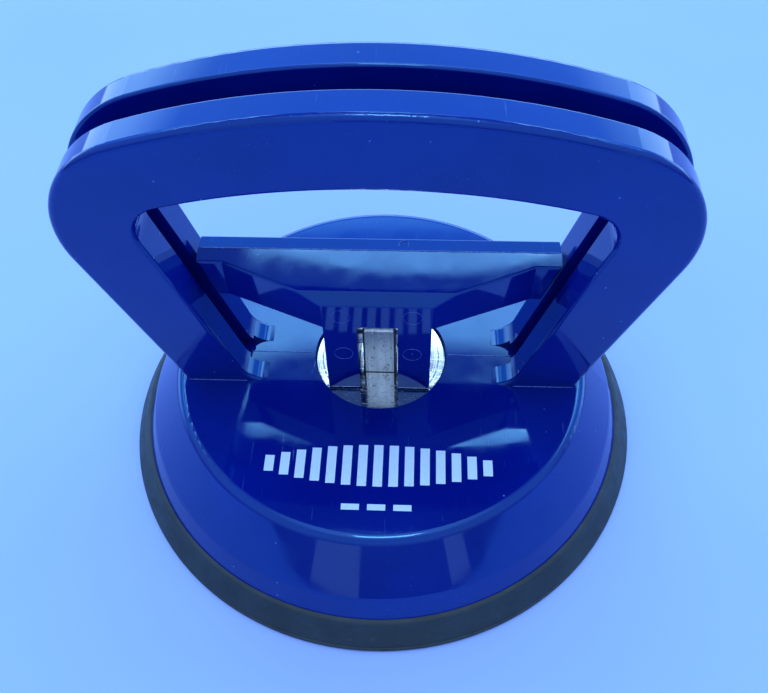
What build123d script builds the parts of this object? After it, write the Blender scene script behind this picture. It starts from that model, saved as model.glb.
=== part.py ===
from build123d import *
import math
import os

# Hand vacuum lifter: a rubber suction cup under a moulded base with an integral loop handle.
# A T-shaped cam lever pulls a square stem up through the base, which draws up the cup's centre.
#
# Frame: the origin is on the work surface, under the cup's centre.  +Z is up, X runs along the
# handle and Y across it.  Modelled with the lever upright and locked, so the cup is drawn up.
# All sizes are in millimetres.

# ---- rubber cup -------------------------------------------------------------------------------
cup_diameter = 118.0
cup_edge_height = 1.6
cup_shoulder_diameter = 111.4
sealing_land = 7.0
suction_depth = 5.2
drawn_up_diameter = 52.0
cup_floor = 2.5
cup_web = 3.2
cup_lip = 0.9
cup_hub_wall = 3.0
sealing_groove_depth = 0.5
sealing_groove_pitch = 1.8
sealing_groove_count = 3

# ---- moulded base -----------------------------------------------------------------------------
rim_diameter = 109.8
rim_height = 7.2
rim_wall = 4.0
shoulder_diameter = 105.6
shoulder_height = 12.0
shoulder_round = 4.0
deck_diameter = 90.2
deck_height = 22.9
deck_edge_round = 2.5
deck_thickness = 3.5
boss_diameter = 34.0
boss_drop = 1.5
rib_count = 4
rib_thickness = 2.0
rib_depth = 7.0
rib_clear_of_boss = 1.0

# ---- loop handle ------------------------------------------------------------------------------
handle_height = 95.4
handle_depth_top = 20.6
handle_depth_foot = 16.2
crown_radius = 139.0
foot_outer = 42.7
foot_inner = 28.7
leg_lean_outer = 0.344
leg_lean_inner = 0.305
bar_height = 15.2
soffit_radius = 139.0
outer_corner_round = 21.5
window_corner_round = 7.0
window_foot_round = 5.5
outer_groove_width = 6.0
outer_groove_depth = 5.5
inner_groove_width = 4.0
inner_groove_depth = 3.6
plate_edge_round = 1.3
groove_edge_round = 0.6
window_edge_round = 0.8

# ---- wear disc --------------------------------------------------------------------------------
disc_diameter = 29.0
disc_thickness = 1.0
disc_recess = 2.0
disc_seat_gap = 0.2

# ---- stem and insert plate --------------------------------------------------------------------
stem_width = 7.0
stem_depth = 8.8
stem_edge = 0.4
stem_above_pin = 6.8
stem_slide_gap = 0.2
stem_tenon_diameter = 5.0
tenon_gap = 0.02
insert_diameter = 44.0
insert_thickness = 2.0
moving_gap = 0.3

# ---- return spring ----------------------------------------------------------------------------
spring_wire = 1.3
spring_turns = 3.0
spring_bottom_diameter = 32.0
spring_top_diameter = 21.0
spring_end_gap = 0.05
washer_thickness = 0.8
washer_diameter = 25.0
washer_bore = 13.0

# ---- cam lever --------------------------------------------------------------------------------
pin_diameter = 4.0
pin_above_disc = 8.0
pin_running_gap = 0.05
pin_end_recess = 0.2
cam_gap = 0.25
release_angle = 75.0
release_drop = 3.0
ear_gap = 0.6
ear_width = 6.8
ear_front = 9.1
ear_rear = 5.6
ear_toe_round = 0.8
grip_bottom_above_pin = 13.2
grip_height = 10.0
grip_rear = 6.7
grip_end_front = 0.6
grip_end_length = 2.2
grip_end_gap = 1.7
grip_brow = 2.1
grip_parting = 3.0
grip_front_draft = 6.0
grip_rear_draft = 4.0
lever_edge_round = 0.5

# ---- derived places ---------------------------------------------------------------------------
disc_top = deck_height - disc_recess + disc_thickness
boss_underside = deck_height - deck_thickness - boss_drop
deck_underside = deck_height - deck_thickness
insert_floor = suction_depth + cup_floor
insert_bottom = insert_floor + moving_gap
insert_top = insert_bottom + insert_thickness
pin_height = disc_top + pin_above_disc
stem_top = pin_height + stem_above_pin
ear_inner = stem_width / 2 + ear_gap
ear_outer = ear_inner + ear_width
grip_bottom = pin_height + grip_bottom_above_pin
grip_top = grip_bottom + grip_height
reach = 2 * (cup_diameter + handle_height)


def revolved(points):
    """Solid of revolution about Z from a closed outline of (radius, height) points."""
    outline = Polyline(*[(r, 0, z) for r, z in points], close=True)
    return revolve(make_face(outline), Axis.Z)


def block(x0, x1, y0, y1, z0, z1):
    """Box between two corners."""
    size = Box(x1 - x0, y1 - y0, z1 - z0)
    return Pos((x0 + x1) / 2, (y0 + y1) / 2, (z0 + z1) / 2) * size


def disc(diameter, bottom, top):
    """Upright cylinder on the Z axis between two heights."""
    return Pos(0, 0, (bottom + top) / 2) * Cylinder(diameter / 2, top - bottom)


def upright(sketch, depth):
    """Extrude a front-view sketch (X, Z) equally to both sides of the XZ plane."""
    return extrude(Plane.XZ * sketch, depth / 2, both=True)


def leg_x(foot, lean, height):
    """Half-width of a leaning leg line at a height."""
    return foot + lean * (height - deck_height)


# ---- rubber cup -------------------------------------------------------------------------------
def make_cup():
    edge = cup_diameter / 2
    seat = rim_diameter / 2 - rim_wall - 0.4
    land = edge - sealing_land
    drawn = drawn_up_diameter / 2
    pocket = insert_diameter / 2 + moving_gap
    lip_height = insert_top + moving_gap
    hub = pocket + cup_hub_wall
    cup = revolved([
        (0, suction_depth), (drawn, suction_depth), (land - 3.0, 0.9), (land, 0), (edge - 0.4, 0),
        (edge, 0.5), (edge, cup_edge_height), (cup_shoulder_diameter / 2 + 1.0, rim_height - 1.6),
        (cup_shoulder_diameter / 2, rim_height - 0.5), (cup_shoulder_diameter / 2 - 0.5, rim_height),
        (seat, rim_height), (seat - 0.8, rim_height - 0.8), (hub + 1.5, suction_depth + cup_web),
        (hub, lip_height + cup_lip), (pocket - 2.0, lip_height + cup_lip), (pocket - 2.0, lip_height),
        (pocket, lip_height), (pocket, insert_floor), (0, insert_floor),
    ])
    for index in range(sealing_groove_count):
        middle = land + sealing_land / 2 + (index - (sealing_groove_count - 1) / 2) * sealing_groove_pitch
        half = sealing_groove_pitch / 5
        cup -= revolved([(middle - half, -1), (middle + half, -1), (middle, sealing_groove_depth)])
    return cup


# ---- moulded base with its handle -------------------------------------------------------------
def base_shell():
    body = revolved([
        (0, rim_height), (rim_diameter / 2, rim_height), (shoulder_diameter / 2, shoulder_height),
        (deck_diameter / 2, deck_height), (0, deck_height),
    ])
    rings = body.edges().filter_by(GeomType.CIRCLE).sort_by(Axis.Z)
    body = fillet(rings[-1], deck_edge_round)
    rings = body.edges().filter_by(GeomType.CIRCLE)
    body = fillet(rings.filter_by_position(Axis.Z, shoulder_height - 0.1, shoulder_height + 0.1),
                  shoulder_round)
    return body


def base_cavity():
    mouth = rim_diameter / 2 - rim_wall
    inner_shoulder = shoulder_diameter / 2 - rim_wall
    ceiling = deck_diameter / 2 - rim_wall
    boss = boss_diameter / 2
    hollow = revolved([
        (0, rim_height - 5), (mouth, rim_height - 5), (mouth, rim_height),
        (inner_shoulder, shoulder_height - 0.5), (ceiling, deck_underside), (boss + boss_drop, deck_underside),
        (boss, boss_underside), (0, boss_underside),
    ])
    for index in range(rib_count):
        rib = block(boss + rib_clear_of_boss, rim_diameter, -rib_thickness / 2, rib_thickness / 2,
                    deck_underside - rib_depth, deck_height)
        hollow -= Rot(0, 0, (index + 0.5) * 360 / rib_count) * rib
    return hollow


def leaning_outline(foot, lean, low, high, radius, crown):
    """Front view of a shape with leaning sides under a crowned top."""
    sides = Polygon(
        (-leg_x(foot, lean, low), low), (leg_x(foot, lean, low), low),
        (leg_x(foot, lean, high), high), (-leg_x(foot, lean, high), high), align=None,
    )
    return sides & (Pos(0, crown - radius) * Circle(radius))


def handle_outline():
    shape = leaning_outline(foot_outer, leg_lean_outer, deck_underside, handle_height + 5,
                            crown_radius, handle_height)
    return fillet(shape.vertices().sort_by(Axis.Y)[-2:], outer_corner_round)


def window_outline():
    shape = leaning_outline(foot_inner, leg_lean_inner, deck_height, handle_height,
                            soffit_radius, handle_height - bar_height)
    shape = fillet(shape.vertices().sort_by(Axis.Y)[-2:], window_corner_round)
    return fillet(shape.vertices().sort_by(Axis.Y)[:2], window_foot_round)


def wire_above(wire, low):
    """Edges of a wire that reach above a height."""
    return wire.edges().filter_by(lambda edge: edge.bounding_box().max.Z > low)


def handle_wedge():
    """Side view (Y, Z) of the handle's depth: full at the top bar and narrower towards the feet."""
    low = deck_underside - 1
    high = handle_height + 1
    slope = (handle_depth_top - handle_depth_foot) / 2 / (handle_height - deck_height)
    low_half = handle_depth_foot / 2 + slope * (low - deck_height)
    high_half = handle_depth_foot / 2 + slope * (high - deck_height)
    side_view = Polygon((-low_half, low), (low_half, low), (high_half, high), (-high_half, high), align=None)
    return extrude(Plane.YZ * side_view, reach, both=True)


def broad_faces(plate):
    """The two large faces of a plate, the outer one first."""
    return plate.faces().sort_by(SortBy.AREA)[-2:].sort_by(Axis.Y)


def handle_plate(outline, window):
    """The front one of the two plates, rounded along its outline, its groove side and its window."""
    plate = extrude(Plane.XZ * (outline - window), handle_depth_top)
    plate = (Pos(0, -outer_groove_width / 2, 0) * plate) & handle_wedge()
    plate = fillet(wire_above(broad_faces(plate)[0].outer_wire(), deck_height), plate_edge_round)
    plate = fillet(broad_faces(plate)[0].inner_wires()[0].edges(), window_edge_round)
    return fillet(wire_above(broad_faces(plate)[1].outer_wire(), deck_height), groove_edge_round)


def make_handle():
    outline = handle_outline()
    window = window_outline()
    front = handle_plate(outline, window)
    web = upright(offset(outline, -outer_groove_depth) - window, outer_groove_width)
    handle = front + web + mirror(front, Plane.XZ)
    channel = upright(offset(window, inner_groove_depth), inner_groove_width)
    return handle - (channel & block(-reach, reach, -reach, reach, deck_height + 0.01, reach))


def make_housing():
    housing = base_shell() + make_handle()
    housing -= base_cavity()
    seat = disc_diameter + 2 * disc_seat_gap
    housing -= disc(seat, deck_height - disc_recess, deck_height + 1)
    hole_x = stem_width / 2 + stem_slide_gap
    hole_y = stem_depth / 2 + stem_slide_gap
    housing -= block(-hole_x, hole_x, -hole_y, hole_y, 0, deck_height)
    return housing


# ---- wear disc --------------------------------------------------------------------------------
def make_disc():
    plate = disc(disc_diameter, disc_top - disc_thickness, disc_top)
    plate = fillet(plate.edges().filter_by(GeomType.CIRCLE).sort_by(Axis.Z)[-1], disc_thickness / 4)
    hole_x = stem_width / 2 + stem_slide_gap
    hole_y = stem_depth / 2 + stem_slide_gap
    return plate - block(-hole_x, hole_x, -hole_y, hole_y, 0, deck_height)


# ---- stem and insert plate --------------------------------------------------------------------
def make_stem():
    bar = block(-stem_width / 2, stem_width / 2, -stem_depth / 2, stem_depth / 2, insert_top, stem_top)
    bar = chamfer(bar.edges().filter_by(Axis.Z), stem_edge)
    bar = chamfer(bar.faces().sort_by(Axis.Z)[-1].edges(), stem_edge)
    bar += disc(stem_tenon_diameter, insert_bottom, insert_top)
    bore = Cylinder(pin_diameter / 2 + pin_running_gap, stem_width * 2)
    return bar - Pos(0, 0, pin_height) * Rot(0, 90, 0) * bore


def make_insert():
    plate = disc(insert_diameter, insert_bottom, insert_top)
    plate = fillet(plate.edges().filter_by(GeomType.CIRCLE), insert_thickness / 5)
    return plate - disc(stem_tenon_diameter + 2 * tenon_gap, 0, deck_height)


# ---- return spring and its washer -------------------------------------------------------------
def make_washer():
    washer = disc(washer_diameter, boss_underside - washer_thickness, boss_underside)
    return washer - disc(washer_bore, 0, deck_height)


def make_spring():
    low = insert_top + spring_wire / 2 + spring_end_gap
    high = boss_underside - washer_thickness - spring_wire / 2 - spring_end_gap
    shrink = (spring_bottom_diameter - spring_top_diameter) / 2
    cone = math.degrees(math.atan2(shrink, high - low))
    line = Helix((high - low) / spring_turns, high - low, spring_bottom_diameter / 2, cone_angle=-cone)
    line = Pos(0, 0, low) * line
    section = Plane(origin=line @ 0, z_dir=line % 0) * Circle(spring_wire / 2)
    return sweep(section, path=line, is_frenet=True)


# ---- cam lever and its pin --------------------------------------------------------------------
def cam_point(angle, height, drop_rate):
    """Point of the cam (Y, Z from the pin) that bears on the disc at a lever angle in radians."""
    radius = height - drop_rate * angle
    y = radius * math.sin(angle) - drop_rate * math.cos(angle)
    z = -radius * math.cos(angle) - drop_rate * math.sin(angle)
    return (y, z)


def ear_outline():
    """Side view (Y, Z from the pin) of an ear: flat locking foot, then a cam of even drop."""
    end = math.radians(release_angle)
    rate = release_drop / end
    height = pin_above_disc - cam_gap
    steps = 8
    cam = [cam_point(end * index / steps, height, rate) for index in range(steps + 1)]
    heel_y, heel_z = cam[-1]
    rise = (ear_rear - heel_y) * math.tan(end)
    top = grip_bottom_above_pin + 0.5
    edges = Spline(*cam) + Polyline(
        cam[-1], (ear_rear, heel_z + rise), (ear_rear, top), (-ear_front, top),
        (-ear_front, -height), cam[0],
    )
    outline = make_face(edges)
    toe = outline.vertices().sort_by_distance((-ear_front, -height))[0]
    return fillet(toe, ear_toe_round)


def grip_side_view():
    """Side view (Y, Z) of the grip: its top falls both ways from the parting line, to a brow in front."""
    fall = math.tan(math.radians(grip_front_draft))
    brow_y = grip_brow - ear_front
    brow_z = grip_top - (grip_parting - brow_y) * fall
    rear_top = grip_top - (grip_rear - grip_parting) * math.tan(math.radians(grip_rear_draft))
    return Polygon(
        (grip_rear, grip_bottom), (grip_rear, rear_top), (grip_parting, grip_top), (brow_y, brow_z),
        (-ear_front, brow_z - grip_brow), (-ear_front, grip_bottom), align=None,
    )


def make_grip():
    low_half = leg_x(foot_inner, leg_lean_inner, grip_bottom) - grip_end_gap
    high_half = leg_x(foot_inner, leg_lean_inner, grip_top) - grip_end_gap
    front_view = Polygon((-low_half, grip_bottom), (low_half, grip_bottom),
                         (high_half, grip_top), (-high_half, grip_top), align=None)
    taper_end = low_half - grip_end_length
    plan = Polygon(
        (-reach, grip_rear), (-reach, -grip_end_front), (-taper_end, -grip_end_front),
        (-ear_outer, -ear_front), (ear_outer, -ear_front), (taper_end, -grip_end_front),
        (reach, -grip_end_front), (reach, grip_rear), align=None,
    )
    grip = upright(front_view, 2 * reach) & extrude(plan, reach)
    grip &= extrude(Plane.YZ * grip_side_view(), reach, both=True)
    ridge_ends = grip.edges().filter_by(Axis.X).sort_by(Axis.Z)[-1].vertices()
    sharp = [edge for edge in grip.edges() if any(end in ridge_ends for end in edge.vertices())]
    return fillet([edge for edge in grip.edges() if edge not in sharp], lever_edge_round)


def make_lever():
    lever = make_grip()
    side_view = Plane.YZ * (Pos(0, pin_height) * ear_outline())
    for side in (-1, 1):
        ear = Pos(ear_inner if side > 0 else -ear_outer, 0, 0) * extrude(side_view, ear_width)
        lever += ear
    bore = Cylinder(pin_diameter / 2 + tenon_gap, 4 * ear_outer)
    return lever - Pos(0, 0, pin_height) * Rot(0, 90, 0) * bore


def make_pin():
    pin = Cylinder(pin_diameter / 2, 2 * (ear_outer - pin_end_recess))
    pin = chamfer(pin.edges().filter_by(GeomType.CIRCLE), pin_diameter / 12)
    return Pos(0, 0, pin_height) * Rot(0, 90, 0) * pin


nodes = {
    "rubber_cup": make_cup,
    "housing": make_housing,
    "wear_disc": make_disc,
    "draw_stem": make_stem,
    "insert_plate": make_insert,
    "spring_washer": make_washer,
    "return_spring": make_spring,
    "lever": make_lever,
    "pivot_pin": make_pin,
}

os.makedirs("parts", exist_ok=True)
for name, make in nodes.items():
    export_step(make(), f"parts/{name}.step")
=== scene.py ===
import bpy
import bmesh
import math
from mathutils import Matrix, Vector


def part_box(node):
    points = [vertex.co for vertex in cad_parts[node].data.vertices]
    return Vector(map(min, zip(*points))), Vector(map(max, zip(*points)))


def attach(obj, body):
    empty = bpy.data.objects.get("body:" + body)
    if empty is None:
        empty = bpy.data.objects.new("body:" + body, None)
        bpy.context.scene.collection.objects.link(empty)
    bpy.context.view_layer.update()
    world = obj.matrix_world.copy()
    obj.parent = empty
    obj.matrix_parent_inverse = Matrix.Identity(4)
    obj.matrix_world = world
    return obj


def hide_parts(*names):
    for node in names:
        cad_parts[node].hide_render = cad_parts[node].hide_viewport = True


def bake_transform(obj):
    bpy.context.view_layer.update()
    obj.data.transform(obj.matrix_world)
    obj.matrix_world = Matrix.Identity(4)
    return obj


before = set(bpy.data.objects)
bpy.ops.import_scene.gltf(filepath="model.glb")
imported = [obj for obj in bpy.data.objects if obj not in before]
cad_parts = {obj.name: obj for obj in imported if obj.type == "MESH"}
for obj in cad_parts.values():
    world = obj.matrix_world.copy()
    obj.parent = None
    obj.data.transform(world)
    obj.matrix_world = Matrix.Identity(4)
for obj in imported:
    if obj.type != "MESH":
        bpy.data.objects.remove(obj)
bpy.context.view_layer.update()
MM = 0.001

# ---- places taken from the frame -----------------------------------------------------------------
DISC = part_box("wear_disc")
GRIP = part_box("lever")
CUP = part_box("rubber_cup")
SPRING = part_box("return_spring")
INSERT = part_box("insert_plate")
DISC_BELOW_DECK = 1.0 * MM
DECK = DISC[1][2] + DISC_BELOW_DECK
DISC_RADIUS = DISC[1][0]
GRIP_TOP = GRIP[1][2]
GRIP_HALF = GRIP[1][0]
GRIP_FRONT = GRIP[0][1]
PARTING = 3.0 * MM
FOOT_INNER = 29.2 * MM
FOOT_OUTER = 42.0 * MM
FOOT_FACE = 8.1 * MM

# ---- numbers used in more than one place --------------------------------------------------------
SOFT_EDGE = math.radians(38)
SOFT_RECIPE_EDGE = math.radians(50)
MIX_FACTOR = 0
MIX_FIRST = 6
MIX_SECOND = 7
MIX_RESULT = 2


# ---- materials ---------------------------------------------------------------------------------

class Finish:
    """A material under construction: its node tree and a few short-hands."""

    def __init__(self, name):
        self.material = bpy.data.materials.new(name)
        self.material.use_nodes = True
        self.nodes = self.material.node_tree.nodes
        self.links = self.material.node_tree.links
        self.shader = self.nodes["Principled BSDF"]
        self.place = self.add("ShaderNodeTexCoord").outputs["Object"]

    def add(self, kind, inputs=None, **settings):
        node = self.nodes.new(kind)
        for key, value in settings.items():
            setattr(node, key, value)
        for key, value in (inputs or {}).items():
            socket = node.inputs[key]
            if isinstance(value, bpy.types.NodeSocket):
                self.links.new(value, socket)
            else:
                socket.default_value = value
        return node

    def set(self, **values):
        for key, value in values.items():
            socket = self.shader.inputs[key.replace("_", " ")]
            if isinstance(value, bpy.types.NodeSocket):
                self.links.new(value, socket)
            else:
                socket.default_value = value

    def noise(self, scale, detail=2.0, roughness=0.5, place=None, distortion=0.0):
        return self.add("ShaderNodeTexNoise", {
            "Vector": place or self.place, "Scale": scale, "Detail": detail,
            "Roughness": roughness, "Distortion": distortion}).outputs["Fac"]

    def ramp(self, factor, low, high, start=0.0, end=1.0):
        """A value that runs from start to end while the factor goes from low to high."""
        return self.add("ShaderNodeMapRange", {
            "Value": factor, "From Min": low, "From Max": high,
            "To Min": start, "To Max": end}).outputs[0]

    def math(self, operation, a, b=0.0):
        return self.add("ShaderNodeMath", {0: a, 1: b}, operation=operation).outputs[0]

    def mix(self, factor, a, b):
        node = self.add("ShaderNodeMix", data_type="RGBA")
        for index, value in ((MIX_FACTOR, factor), (MIX_FIRST, a), (MIX_SECOND, b)):
            if isinstance(value, bpy.types.NodeSocket):
                self.links.new(value, node.inputs[index])
            else:
                node.inputs[index].default_value = value
        return node.outputs[MIX_RESULT]

    def bump(self, height, strength, distance, under=None):
        inputs = {"Height": height, "Strength": strength, "Distance": distance}
        if under is not None:
            inputs["Normal"] = under
        return self.add("ShaderNodeBump", inputs).outputs["Normal"]

    def stretched(self, scale, rotation=(0, 0, 0)):
        return self.add("ShaderNodeMapping", {
            "Vector": self.place, "Scale": scale, "Rotation": rotation}).outputs["Vector"]

    def scratches(self, across, along, turn, rarity):
        """A mask of short hairlines that run one way."""
        softness = 0.03
        streaks = self.noise(1.0, 2, 0.6, self.stretched((across, along, across), (0, 0, turn)), 0.4)
        return self.ramp(streaks, rarity, rarity + softness)

    def specks(self, scale, size):
        """A mask of scattered dust grains: about one cell in eight holds a grain."""
        empty_share = 0.88
        cells = self.add("ShaderNodeTexVoronoi", {"Vector": self.place, "Scale": scale})
        near = self.ramp(cells.outputs["Distance"], size * 0.6, size, 1.0, 0.0)
        chosen = self.add("ShaderNodeSeparateColor", {"Color": cells.outputs["Color"]}).outputs[0]
        return self.math("MULTIPLY", near, self.math("GREATER_THAN", chosen, empty_share))


def blue_plastic():
    f = Finish("glossy_blue_plastic")
    deep = (0.0005, 0.0050, 0.140, 1)
    lighter = (0.0008, 0.0075, 0.175, 1)
    mark = (0.10, 0.20, 0.50, 1)
    tone = f.ramp(f.noise(55, 3), 0.3, 0.7)
    colour = f.mix(tone, deep, lighter)
    worn = f.ramp(f.noise(70, 3, 0.6), 0.42, 0.68)
    lines = f.math("MAXIMUM", f.scratches(2600, 90, 0.5, 0.70), f.scratches(2300, 110, 2.1, 0.71))
    lines = f.math("MULTIPLY", lines, worn)
    dust = f.specks(420, 0.09)
    marks = f.math("MAXIMUM", f.math("MULTIPLY", lines, 0.3), f.math("MULTIPLY", dust, 0.7))
    f.set(Base_Color=f.mix(marks, colour, mark))
    f.set(IOR=1.54, Specular_IOR_Level=0.78, Specular_Tint=(0.22, 0.62, 1.0, 1))
    haze = f.ramp(f.noise(160, 4, 0.6), 0.35, 0.75, 0.035, 0.10)
    f.set(Roughness=f.math("ADD", haze, f.math("MULTIPLY", marks, 0.35)))
    sinks = f.bump(f.noise(26, 1), 0.05, 0.0004)
    f.set(Normal=f.bump(f.math("SUBTRACT", dust, lines), 0.10, 0.00003, sinks))
    return f.material


def cup_rubber():
    f = Finish("moulded_rubber")
    dark = (0.010, 0.021, 0.026, 1)
    worn = (0.019, 0.035, 0.043, 1)
    grey_dust = (0.11, 0.15, 0.18, 1)
    patches = f.ramp(f.noise(90, 5, 0.65), 0.35, 0.7)
    colour = f.mix(patches, dark, worn)
    dust = f.math("MAXIMUM", f.specks(500, 0.12), f.ramp(f.noise(700, 4, 0.7), 0.62, 0.8, 0.0, 0.5))
    f.set(Base_Color=f.mix(f.math("MULTIPLY", dust, 0.5), colour, grey_dust))
    f.set(Roughness=f.ramp(f.noise(300, 3), 0.3, 0.7, 0.46, 0.66))
    f.set(Specular_IOR_Level=0.42)
    f.set(Normal=f.bump(f.noise(1800, 3), 0.3, 0.0001))
    return f.material


def mirror_steel():
    """Polished disc: fine turning rings about its axis and scuffs where the cams ride."""
    f = Finish("polished_steel")
    bright = (0.66, 0.69, 0.71, 1)
    dull = (0.56, 0.58, 0.60, 1)
    f.set(Metallic=1.0, Base_Color=f.mix(f.ramp(f.noise(300, 4), 0.4, 0.7), bright, dull))
    radius = f.add("ShaderNodeVectorMath", {0: f.place}, operation="LENGTH").outputs["Value"]
    rings = f.add("ShaderNodeTexNoise", {"W": radius, "Scale": 5200.0, "Detail": 2.0},
                  noise_dimensions="1D").outputs["Fac"]
    scuffs = f.scratches(500, 3000, 0.0, 0.60)
    polish = f.ramp(rings, 0.3, 0.7, 0.04, 0.13)
    f.set(Roughness=f.math("ADD", polish, f.math("MULTIPLY", scuffs, 0.25)))
    f.set(Normal=f.bump(f.math("SUBTRACT", rings, scuffs), 0.06, 0.00002))
    return f.material


def stem_steel():
    """Drawn bar: lengthwise grain with dark rust pits."""
    f = Finish("drawn_steel")
    dull = (0.50, 0.50, 0.49, 1)
    bright = (0.68, 0.68, 0.66, 1)
    brown = (0.25, 0.15, 0.08, 1)
    pit = (0.07, 0.05, 0.04, 1)
    grain = f.ramp(f.noise(1.0, 3, 0.6, f.stretched((2200, 2200, 120))), 0.35, 0.65)
    pits = f.ramp(f.noise(1300, 3, 0.7), 0.60, 0.68)
    rust = f.ramp(f.noise(420, 4, 0.7), 0.60, 0.74)
    steel = f.mix(grain, dull, bright)
    tarnished = f.mix(f.math("MULTIPLY", rust, 0.6), steel, brown)
    f.set(Base_Color=f.mix(pits, tarnished, pit))
    f.set(Metallic=f.ramp(f.math("MAXIMUM", pits, rust), 0, 1, 0.9, 0.2))
    f.set(Roughness=f.ramp(f.math("MAXIMUM", pits, rust), 0, 1, 0.34, 0.8))
    f.set(Normal=f.bump(f.math("SUBTRACT", grain, pits), 0.25, 0.00004))
    return f.material


def plated_steel():
    f = Finish("zinc_plated_steel")
    grey = (0.52, 0.54, 0.56, 1)
    bright = (0.66, 0.67, 0.66, 1)
    cloud = f.ramp(f.noise(260, 3), 0.35, 0.7)
    f.set(Metallic=1.0, Base_Color=f.mix(cloud, grey, bright))
    f.set(Roughness=f.ramp(f.noise(600, 3), 0.3, 0.7, 0.22, 0.38))
    return f.material


def print_ink():
    f = Finish("pale_print_ink")
    full = (0.52, 0.66, 0.84, 1)
    rubbed = (0.12, 0.22, 0.50, 1)
    thin = f.ramp(f.noise(1500, 4, 0.7), 0.60, 0.72)
    f.set(Base_Color=f.mix(f.math("MULTIPLY", thin, 0.5), full, rubbed))
    f.set(Roughness=f.ramp(f.noise(900, 2), 0.3, 0.7, 0.35, 0.5))
    return f.material


def flash_plastic_painted_highlight():
    """The same plastic where it is thin and torn, coloured lighter as a painted highlight along the flash
    lines and pin rings.
    """
    f = Finish("blue_plastic_flash_painted_highlight")
    deep = (0.002, 0.022, 0.24, 1)
    # painted highlight: this blue is far lighter than the body plastic, so the thin lines show bright without
    # any light on them
    painted_highlight_blue = (0.03, 0.11, 0.46, 1)
    tone = f.ramp(f.noise(1500, 3), 0.35, 0.65)
    f.set(Base_Color=f.mix(tone, deep, painted_highlight_blue))
    f.set(Roughness=f.ramp(f.noise(2500, 2), 0.3, 0.7, 0.2, 0.4), Specular_IOR_Level=0.8)
    return f.material


BLUE = blue_plastic()
RUBBER = cup_rubber()
MIRROR = mirror_steel()
STEEL = stem_steel()
PLATED = plated_steel()
INK = print_ink()
FLASH_PAINTED_HIGHLIGHT = flash_plastic_painted_highlight()


def dress(node, material):
    """Give a carried-over node its finish."""
    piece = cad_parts[node]
    piece.data.materials.clear()
    piece.data.materials.append(material)


for node, material in (("housing", BLUE), ("lever", BLUE), ("rubber_cup", RUBBER), ("wear_disc", MIRROR),
                       ("draw_stem", STEEL), ("insert_plate", STEEL), ("spring_washer", PLATED),
                       ("return_spring", PLATED), ("pivot_pin", PLATED)):
    dress(node, material)


# ---- mesh helpers ------------------------------------------------------------------------------

def new_piece(name, mesh, material):
    """An object at the origin, smooth-shaded except at its sharp edges."""
    mesh.materials.clear()
    mesh.materials.append(material)
    mesh.shade_smooth()
    mesh.set_sharp_from_angle(angle=SOFT_EDGE)
    piece = bpy.data.objects.new(name, mesh)
    bpy.context.collection.objects.link(piece)
    return piece


def turned(name, profile, segments, material):
    """A piece turned about Z from a closed outline of (radius, height) points in millimetres."""
    form = bmesh.new()
    columns = []
    for radius, height in profile:
        if radius == 0:
            columns.append([form.verts.new((0, 0, height * MM))] * segments)
            continue
        angles = [math.tau * index / segments for index in range(segments)]
        columns.append([form.verts.new((radius * MM * math.cos(a), radius * MM * math.sin(a), height * MM))
                        for a in angles])
    for index, column in enumerate(columns):
        beside = columns[(index + 1) % len(columns)]
        for step in range(segments):
            ahead = (step + 1) % segments
            corners = [column[step], column[ahead], beside[ahead], beside[step]]
            corners = list(dict.fromkeys(corners))
            if len(corners) > 2:
                form.faces.new(corners)
    bmesh.ops.recalc_face_normals(form, faces=form.faces)
    mesh = bpy.data.meshes.new(name)
    form.to_mesh(mesh)
    form.free()
    return new_piece(name, mesh, material)


def arc(centre, radius, start, end, steps):
    """Points of a round stretch of an outline, between two angles in degrees."""
    points = []
    for index in range(steps + 1):
        angle = math.radians(start + (end - start) * index / steps)
        points.append((centre[0] + radius * math.cos(angle), centre[1] + radius * math.sin(angle)))
    return points


# ---- rubber cup --------------------------------------------------------------------------------

def make_rubber():
    """The cup in two pieces: the skirt is attached to the base and the middle piece is left unattached."""
    segments = 160
    land_width = 7.0
    groove_pitch = 1.8
    groove_half = 0.36
    groove_depth = 0.5
    corner = 0.5
    gap = 0.3
    edge = CUP[1][0] / MM
    land = edge - land_width
    top = 7.2
    grooves = []
    for index in range(3):
        middle = land + land_width / 2 + (index - 1) * groove_pitch
        grooves += [(middle - groove_half, 0), (middle, groove_depth), (middle + groove_half, 0)]
    outside = arc((edge - corner, corner), corner, -90, 0, 5)
    outside += [(edge, 1.3), (edge - 0.1, 1.5), (edge - 0.5, 1.6)]
    flank = [(edge - 0.5, 1.85), (edge - 0.3, 2.0), (edge - 0.9, 3.1), (edge - 1.8, 4.6), (edge - 2.7, 5.9)]
    shoulder = arc((edge - 3.8, top - 0.9), 0.9, 20, 90, 5)
    turned("rubber_skirt", [(land, 0)] + grooves + outside + flank + shoulder + [(land, top)], segments,
           RUBBER)
    seam = land - 0.01
    floor = INSERT[0][2] / MM - gap
    ceiling = INSERT[1][2] / MM + gap
    pocket = INSERT[1][0] / MM + gap
    flat = 26
    reach = 23
    drawn_up = 5.2
    drop = 4.3
    under = [(0, drawn_up), (flat, drawn_up)]
    for t in (0.2, 0.4, 0.6, 0.8, 1):
        under.append((flat + reach * t, drawn_up - drop * t * t * (1.6 - 0.6 * t)))
    above = [(seam, 0.02), (seam, top), (land - 1.5, top), (land - 2.3, top - 0.8), (pocket + 4.5, 8.4),
             (pocket + 3.0, ceiling + 0.6), (pocket + 2.7, ceiling + 0.9), (pocket - 2.0, ceiling + 0.9),
             (pocket - 2.0, ceiling), (pocket, ceiling), (pocket, floor), (0, floor)]
    turned("rubber_diaphragm", under + above, segments, RUBBER)
    skirt = bpy.data.objects["rubber_skirt"]
    diaphragm = bpy.data.objects["rubber_diaphragm"]
    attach(skirt, "base_unit")
    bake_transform(diaphragm)
    for piece in (skirt, diaphragm):
        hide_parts("rubber_cup")


# ---- return spring -----------------------------------------------------------------------------

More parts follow.
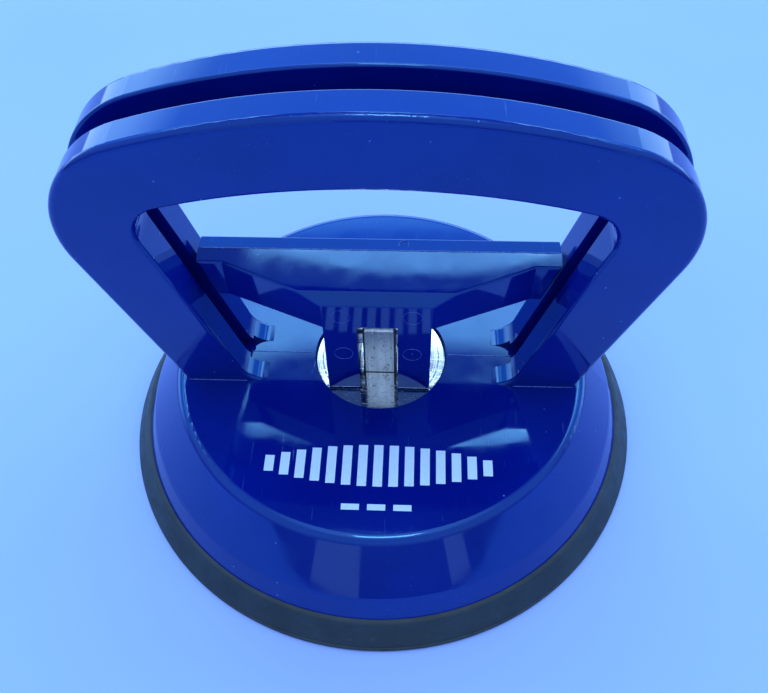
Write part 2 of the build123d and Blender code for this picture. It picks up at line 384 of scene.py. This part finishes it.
def make_spring():
    """Conical coil with closed ends, stretched between the insert plate and the boss."""
    wire = 0.65 * MM
    low = SPRING[0][2] + wire
    high = SPRING[1][2] - wire
    low_radius = 16.0 * MM
    high_radius = 10.5 * MM
    turns = 3.0
    steps = 180
    sides = 12
    form = bmesh.new()
    rings = []
    for index in range(steps + 1):
        t = index / steps
        angle = math.tau * turns * t
        radius = low_radius + (high_radius - low_radius) * t
        centre = Vector((radius * math.cos(angle), radius * math.sin(angle), low + (high - low) * t))
        out = Vector((math.cos(angle), math.sin(angle), 0))
        rings.append([form.verts.new(centre + wire * (out * math.cos(a) + Vector((0, 0, math.sin(a)))))
                      for a in (math.tau * side / sides for side in range(sides))])
    for here, ahead in zip(rings, rings[1:]):
        for side in range(sides):
            beside = (side + 1) % sides
            form.faces.new((here[side], here[beside], ahead[beside], ahead[side]))
    form.faces.new(rings[0])
    form.faces.new(rings[-1])
    bmesh.ops.recalc_face_normals(form, faces=form.faces)
    mesh = bpy.data.meshes.new("conical_spring")
    form.to_mesh(mesh)
    form.free()
    spring = new_piece("conical_spring", mesh, PLATED)
    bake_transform(spring)
    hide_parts("return_spring")


# ---- geometry-node recipes ---------------------------------------------------------------------

class Recipe:
    """A Geometry Nodes group under construction, with named inputs and one material."""

    def __init__(self, name, **inputs):
        self.tree = bpy.data.node_groups.new(name, "GeometryNodeTree")
        self.tree.interface.new_socket("Geometry", in_out="INPUT", socket_type="NodeSocketGeometry")
        for label, kind in inputs.items():
            self.tree.interface.new_socket(label, in_out="INPUT", socket_type="NodeSocket" + kind)
        self.tree.interface.new_socket("Material", in_out="INPUT", socket_type="NodeSocketMaterial")
        self.tree.interface.new_socket("Geometry", in_out="OUTPUT", socket_type="NodeSocketGeometry")
        self.given = self.tree.nodes.new("NodeGroupInput").outputs

    def add(self, kind, inputs=None, **settings):
        node = self.tree.nodes.new(kind)
        for key, value in settings.items():
            setattr(node, key, value)
        for key, value in (inputs or {}).items():
            if isinstance(value, bpy.types.NodeSocket):
                self.tree.links.new(value, node.inputs[key])
            else:
                node.inputs[key].default_value = value
        return node

    def math(self, operation, a, b=0.0):
        return self.add("ShaderNodeMath", {0: a, 1: b}, operation=operation).outputs[0]

    def serve(self, geometry):
        """Realise the geometry, give it the material and send it out."""
        real = self.add("GeometryNodeRealizeInstances", {0: geometry}).outputs[0]
        dressed = self.add("GeometryNodeSetMaterial", {"Geometry": real, "Material": self.given["Material"]})
        self.add("NodeGroupOutput", {0: dressed.outputs[0]})
        return self.tree


def ridge_recipe():
    """A thin ridge along a straight line, with the small wandering of torn moulding flash."""
    r = Recipe("ridge", Start="Vector", End="Vector", Steps="Int", Wander="Vector", Radius="Float")
    line = r.add("GeometryNodeCurvePrimitiveLine", {"Start": r.given["Start"], "End": r.given["End"]})
    fine = r.add("GeometryNodeResampleCurve", {"Curve": line.outputs[0], "Count": r.given["Steps"]})
    texture = r.add("ShaderNodeTexNoise", {"Scale": 420.0, "Detail": 3.0, "Roughness": 0.75})
    centred = r.add("ShaderNodeVectorMath", {0: texture.outputs["Color"], 1: (0.5, 0.5, 0.5)},
                    operation="SUBTRACT")
    shift = r.add("ShaderNodeVectorMath", {0: centred.outputs[0], 1: r.given["Wander"]},
                  operation="MULTIPLY")
    torn = r.add("GeometryNodeSetPosition", {"Geometry": fine.outputs[0], "Offset": shift.outputs[0]})
    section = r.add("GeometryNodeCurvePrimitiveCircle", {"Resolution": 8, "Radius": r.given["Radius"]})
    ridge = r.add("GeometryNodeCurveToMesh", {"Curve": torn.outputs[0], "Profile Curve": section.outputs[0],
                                              "Fill Caps": True})
    return r.serve(ridge.outputs[0])


def ring_recipe():
    """Thin rings, as ejector pins leave them, one on each point of the mesh, facing one way."""
    r = Recipe("pin_rings", Radius="Float", Wire="Float", Turn="Vector")
    circle = r.add("GeometryNodeCurvePrimitiveCircle", {"Resolution": 40, "Radius": r.given["Radius"]})
    section = r.add("GeometryNodeCurvePrimitiveCircle", {"Resolution": 8, "Radius": r.given["Wire"]})
    ring = r.add("GeometryNodeCurveToMesh", {"Curve": circle.outputs[0], "Profile Curve": section.outputs[0]})
    turn = r.add("FunctionNodeEulerToRotation", {0: r.given["Turn"]})
    points = r.add("GeometryNodeMeshToPoints", {"Mesh": r.given["Geometry"]})
    copies = r.add("GeometryNodeInstanceOnPoints", {"Points": points.outputs[0], "Instance": ring.outputs[0],
                                                    "Rotation": turn.outputs[0]})
    return r.serve(copies.outputs[0])


def bar_recipe():
    """A row of printed bars along X that grow shorter from the middle to both ends."""
    r = Recipe("bars", Count="Int", Centre="Vector", Pitch="Float", Size="Vector", Fall="Float")
    index = r.add("GeometryNodeInputIndex").outputs[0]
    middle = r.math("DIVIDE", r.math("SUBTRACT", r.given["Count"], 1.0), 2.0)
    step = r.math("SUBTRACT", index, middle)
    along = r.add("ShaderNodeCombineXYZ", {"X": r.math("MULTIPLY", step, r.given["Pitch"])})
    place = r.add("ShaderNodeVectorMath", {0: along.outputs[0], 1: r.given["Centre"]}, operation="ADD")
    points = r.add("GeometryNodePoints", {"Count": r.given["Count"], "Position": place.outputs[0]})
    share = r.math("POWER", r.math("ABSOLUTE", r.math("DIVIDE", step, middle)), 2.0)
    height = r.math("SUBTRACT", 1.0, r.math("MULTIPLY", share, r.given["Fall"]))
    scale = r.add("ShaderNodeCombineXYZ", {"X": 1.0, "Y": height, "Z": 1.0})
    bar = r.add("GeometryNodeMeshCube", {"Size": r.given["Size"]})
    copies = r.add("GeometryNodeInstanceOnPoints", {"Points": points.outputs[0], "Instance": bar.outputs[0],
                                                    "Scale": scale.outputs[0]})
    return r.serve(copies.outputs[0])


RIDGE = ridge_recipe()
RINGS = ring_recipe()
BARS = bar_recipe()


def grown(name, tree, body, slot, material, points=(), **values):
    """A piece that a recipe makes, turned into a plain mesh."""
    seed = bpy.data.meshes.new(name)
    seed.from_pydata(points, [], [])
    piece = bpy.data.objects.new(name, seed)
    bpy.context.collection.objects.link(piece)
    modifier = piece.modifiers.new(name, "NODES")
    modifier.node_group = tree
    values["Material"] = material
    for item in tree.interface.items_tree:
        if item.in_out == "INPUT" and item.name in values:
            modifier[item.identifier] = values[item.name]
    bpy.context.view_layer.update()
    ready = piece.evaluated_get(bpy.context.evaluated_depsgraph_get())
    mesh = bpy.data.meshes.new_from_object(ready)
    piece.modifiers.remove(modifier)
    piece.data = mesh
    mesh.shade_smooth()
    mesh.set_sharp_from_angle(angle=SOFT_RECIPE_EDGE)
    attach(piece, body)
    return piece


# ---- mould marks and print ---------------------------------------------------------------------

def make_flash():
    """Parting lines across the deck and along the lever's grip, and the lines at the handle's feet."""
    thin = 0.11 * MM
    torn = (0.0, 0.5 * MM, 0.12 * MM)
    # the ridges use the flash finish, whose lighter colour is a painted highlight
    for side, word in ((-1, "left"), (1, "right")):
        grown("deck_flash_" + word, RIDGE, "base_unit", "blue_plastic", FLASH_PAINTED_HIGHLIGHT,
              Start=(side * (DISC_RADIUS + 0.4 * MM), 0.0, DECK), End=(side * FOOT_INNER, 0.0, DECK),
              Steps=90, Wander=torn, Radius=thin)
        for face, where in ((-1, "front"), (1, "rear")):
            grown("foot_line_" + word + "_" + where, RIDGE, "base_unit", "blue_plastic", FLASH_PAINTED_HIGHLIGHT,
                  Start=(side * FOOT_INNER, face * FOOT_FACE, DECK),
                  End=(side * FOOT_OUTER, face * FOOT_FACE, DECK),
                  Steps=60, Wander=(0.0, 0.1 * MM, 0.05 * MM), Radius=thin)
    grown("grip_flash", RIDGE, "lever_unit", "blue_plastic", FLASH_PAINTED_HIGHLIGHT,
          Start=(-GRIP_HALF + 0.6 * MM, PARTING, GRIP_TOP), End=(GRIP_HALF - 0.6 * MM, PARTING, GRIP_TOP),
          Steps=220, Wander=(0.0, 0.45 * MM, 0.12 * MM), Radius=thin)


def make_pin_marks():
    """Ejector-pin rings on the lever's front, two on each ear, and a small one on the grip."""
    ear = 7.1 * MM
    rows = (34.9 * MM, 46.8 * MM)
    # the rings use the flash finish, whose lighter colour is a painted highlight
    front = [(side * ear, GRIP_FRONT, row) for side in (-1, 1) for row in rows]
    grown("ear_pin_marks", RINGS, "lever_unit", "blue_plastic", FLASH_PAINTED_HIGHLIGHT, points=front,
          Radius=1.9 * MM, Wire=0.045 * MM, Turn=(math.pi / 2, 0.0, 0.0))
    rear_draft = math.radians(4.0)
    fall = math.tan(rear_draft)
    behind = 1.9 * MM
    top = [(5.0 * MM, PARTING + behind, GRIP_TOP - behind * fall)]
    grown("grip_pin_marks", RINGS, "lever_unit", "blue_plastic", FLASH_PAINTED_HIGHLIGHT, points=top,
          Radius=1.0 * MM, Wire=0.05 * MM, Turn=(0.0, 0.0, 0.0))


def make_print():
    """Plain printed mark: a row of graduated bars over a row of short dashes."""
    ink = 0.06 * MM
    grown("printed_bars", BARS, "base_unit", "blue_plastic", INK, Count=15,
          Centre=(0.6 * MM, -28.6 * MM, DECK), Pitch=3.2 * MM, Size=(1.9 * MM, 9.6 * MM, ink), Fall=0.62)
    grown("printed_dashes", BARS, "base_unit", "blue_plastic", INK, Count=3,
          Centre=(0.6 * MM, -38.0 * MM, DECK), Pitch=5.2 * MM, Size=(3.6 * MM, 1.3 * MM, ink), Fall=0.0)


make_rubber()
make_spring()
make_flash()
make_pin_marks()
make_print()


# ---- stage -------------------------------------------------------------------------------------

def make_floor():
    half = 3.0
    corners = [(-half, -half, 0), (half, -half, 0), (half, half, 0), (-half, half, 0)]
    pale = (0.31, 0.43, 0.80, 1)
    paler = (0.34, 0.46, 0.84, 1)
    mesh = bpy.data.meshes.new("floor")
    mesh.from_pydata(corners, [], [(0, 1, 2, 3)])
    floor = bpy.data.objects.new("floor", mesh)
    bpy.context.collection.objects.link(floor)
    f = Finish("pale_floor")
    tone = f.ramp(f.noise(9, 3), 0.3, 0.7)
    f.set(Base_Color=f.mix(tone, pale, paler), Roughness=0.85)
    mesh.materials.append(f.material)


def softbox(name, elevation, azimuth, size, radiance, colour, shape="RECTANGLE"):
    """An area light on a far sphere, seen from the object at these angles (azimuth 0 is behind it)."""
    reach = 8.0
    up = math.radians(elevation)
    turn = math.radians(azimuth)
    place = reach * Vector((math.sin(turn) * math.cos(up), math.cos(turn) * math.cos(up), math.sin(up)))
    light = bpy.data.lights.new(name, "AREA")
    light.shape = shape
    light.size = 2 * reach * math.tan(math.radians(size[0] / 2))
    light.size_y = 2 * reach * math.tan(math.radians(size[1] / 2))
    area = light.size * light.size_y
    light.energy = radiance * math.pi * area * (math.pi / 4 if shape == "ELLIPSE" else 1.0)
    light.color = colour
    lamp = bpy.data.objects.new(name, light)
    lamp.location = place
    lamp.rotation_euler = (-place).to_track_quat("-Z", "Y").to_euler()
    bpy.context.collection.objects.link(lamp)


def sky_ramp(nodes, stops):
    """A colour ramp whose first two stops are the lowest and the highest."""
    ramp = nodes.new("ShaderNodeValToRGB")
    elements = ramp.color_ramp.elements
    for index, (place, colour) in enumerate(stops):
        element = elements[index] if index < 2 else elements.new(place)
        element.position = place
        element.color = (*colour, 1)
    return ramp


def make_world():
    """Soft sky behind the object, with a thin pale band and a bright bank above it, and a dim front."""
    world = bpy.data.worlds.new("studio")
    bpy.context.scene.world = world
    world.use_nodes = True
    nodes = world.node_tree.nodes
    links = world.node_tree.links
    overhead = (0.13, 0.19, 0.31)
    dim = (0.022, 0.038, 0.080)
    blue = (0.030, 0.10, 0.27)
    pale = (0.10, 0.26, 0.50)
    bank = (0.36, 0.52, 0.68)
    behind = [(0.0, (0.17, 0.28, 0.42)), (1.0, overhead), (0.30, (0.14, 0.28, 0.46)), (0.42, blue),
              (0.650, blue), (0.656, pale), (0.699, pale), (0.704, blue), (0.735, blue), (0.752, bank),
              (0.787, bank), (0.795, dim), (0.93, dim), (0.955, overhead)]
    ahead = [(0.0, (0.010, 0.018, 0.04)), (1.0, overhead), (0.5, (0.055, 0.085, 0.14)),
             (0.93, (0.055, 0.085, 0.14))]
    direction = nodes.new("ShaderNodeSeparateXYZ")
    links.new(nodes.new("ShaderNodeNewGeometry").outputs["Position"], direction.inputs[0])
    side = nodes.new("ShaderNodeMapRange")
    side.interpolation_type = "SMOOTHSTEP"
    side.inputs["From Min"].default_value = 0.05
    side.inputs["From Max"].default_value = 0.45
    links.new(direction.outputs["Y"], side.inputs["Value"])
    blend = nodes.new("ShaderNodeMix")
    blend.data_type = "RGBA"
    links.new(side.outputs[0], blend.inputs[MIX_FACTOR])
    for slot, stops in ((MIX_FIRST, ahead), (MIX_SECOND, behind)):
        ramp = sky_ramp(nodes, stops)
        links.new(direction.outputs["Z"], ramp.inputs[0])
        links.new(ramp.outputs["Color"], blend.inputs[slot])
    background = nodes["Background"]
    links.new(blend.outputs[MIX_RESULT], background.inputs["Color"])
    background.inputs["Strength"].default_value = 10.0


def make_camera():
    """Camera aimed at a point on the handle's mid-plane from an azimuth, an elevation and a distance."""
    azimuth = math.radians(3.368)
    elevation = math.radians(52.611)
    roll = math.radians(-1.498)
    distance = 0.18701
    aim = Vector((0.000766, 0, 0.025587))
    sensor = 36.0
    focal_widths = 840 / 768
    back = Vector((math.sin(azimuth) * math.cos(elevation), -math.cos(azimuth) * math.cos(elevation),
                   math.sin(elevation)))
    level = Vector((math.cos(azimuth), math.sin(azimuth), 0))
    up = back.cross(level)
    right = level * math.cos(roll) + up * math.sin(roll)
    top = up * math.cos(roll) - level * math.sin(roll)
    lens = bpy.data.cameras.new("camera")
    lens.sensor_width = sensor
    lens.lens = sensor * focal_widths
    lens.clip_start = 0.005
    camera = bpy.data.objects.new("camera", lens)
    turn = Matrix((right, top, back)).transposed()
    camera.matrix_world = Matrix.Translation(aim + back * distance) @ turn.to_4x4()
    bpy.context.collection.objects.link(camera)
    bpy.context.scene.camera = camera


make_floor()
make_world()
softbox("overhead_light", 89.9, 0.0, (11.0, 11.0), 13.0, (0.72, 0.88, 1.0))
softbox("window_left", 5.0, 196.0, (18.0, 9.0), 0.8, (0.75, 0.75, 1.0))
softbox("window_right", 5.0, 149.0, (8.0, 9.0), 0.8, (0.75, 0.75, 1.0))
softbox("lens_light", 57.8, 0.0, (19.0, 4.0), 6.0, (0.60, 0.82, 1.0), "ELLIPSE")
for side, word in ((-1, "left"), (1, "right")):
    softbox("side_light_" + word, 56.3, side * 14.5, (7.0, 2.4), 5.5, (0.6, 0.8, 1.0))
make_camera()
bpy.context.scene.view_settings.view_transform = "Standard"
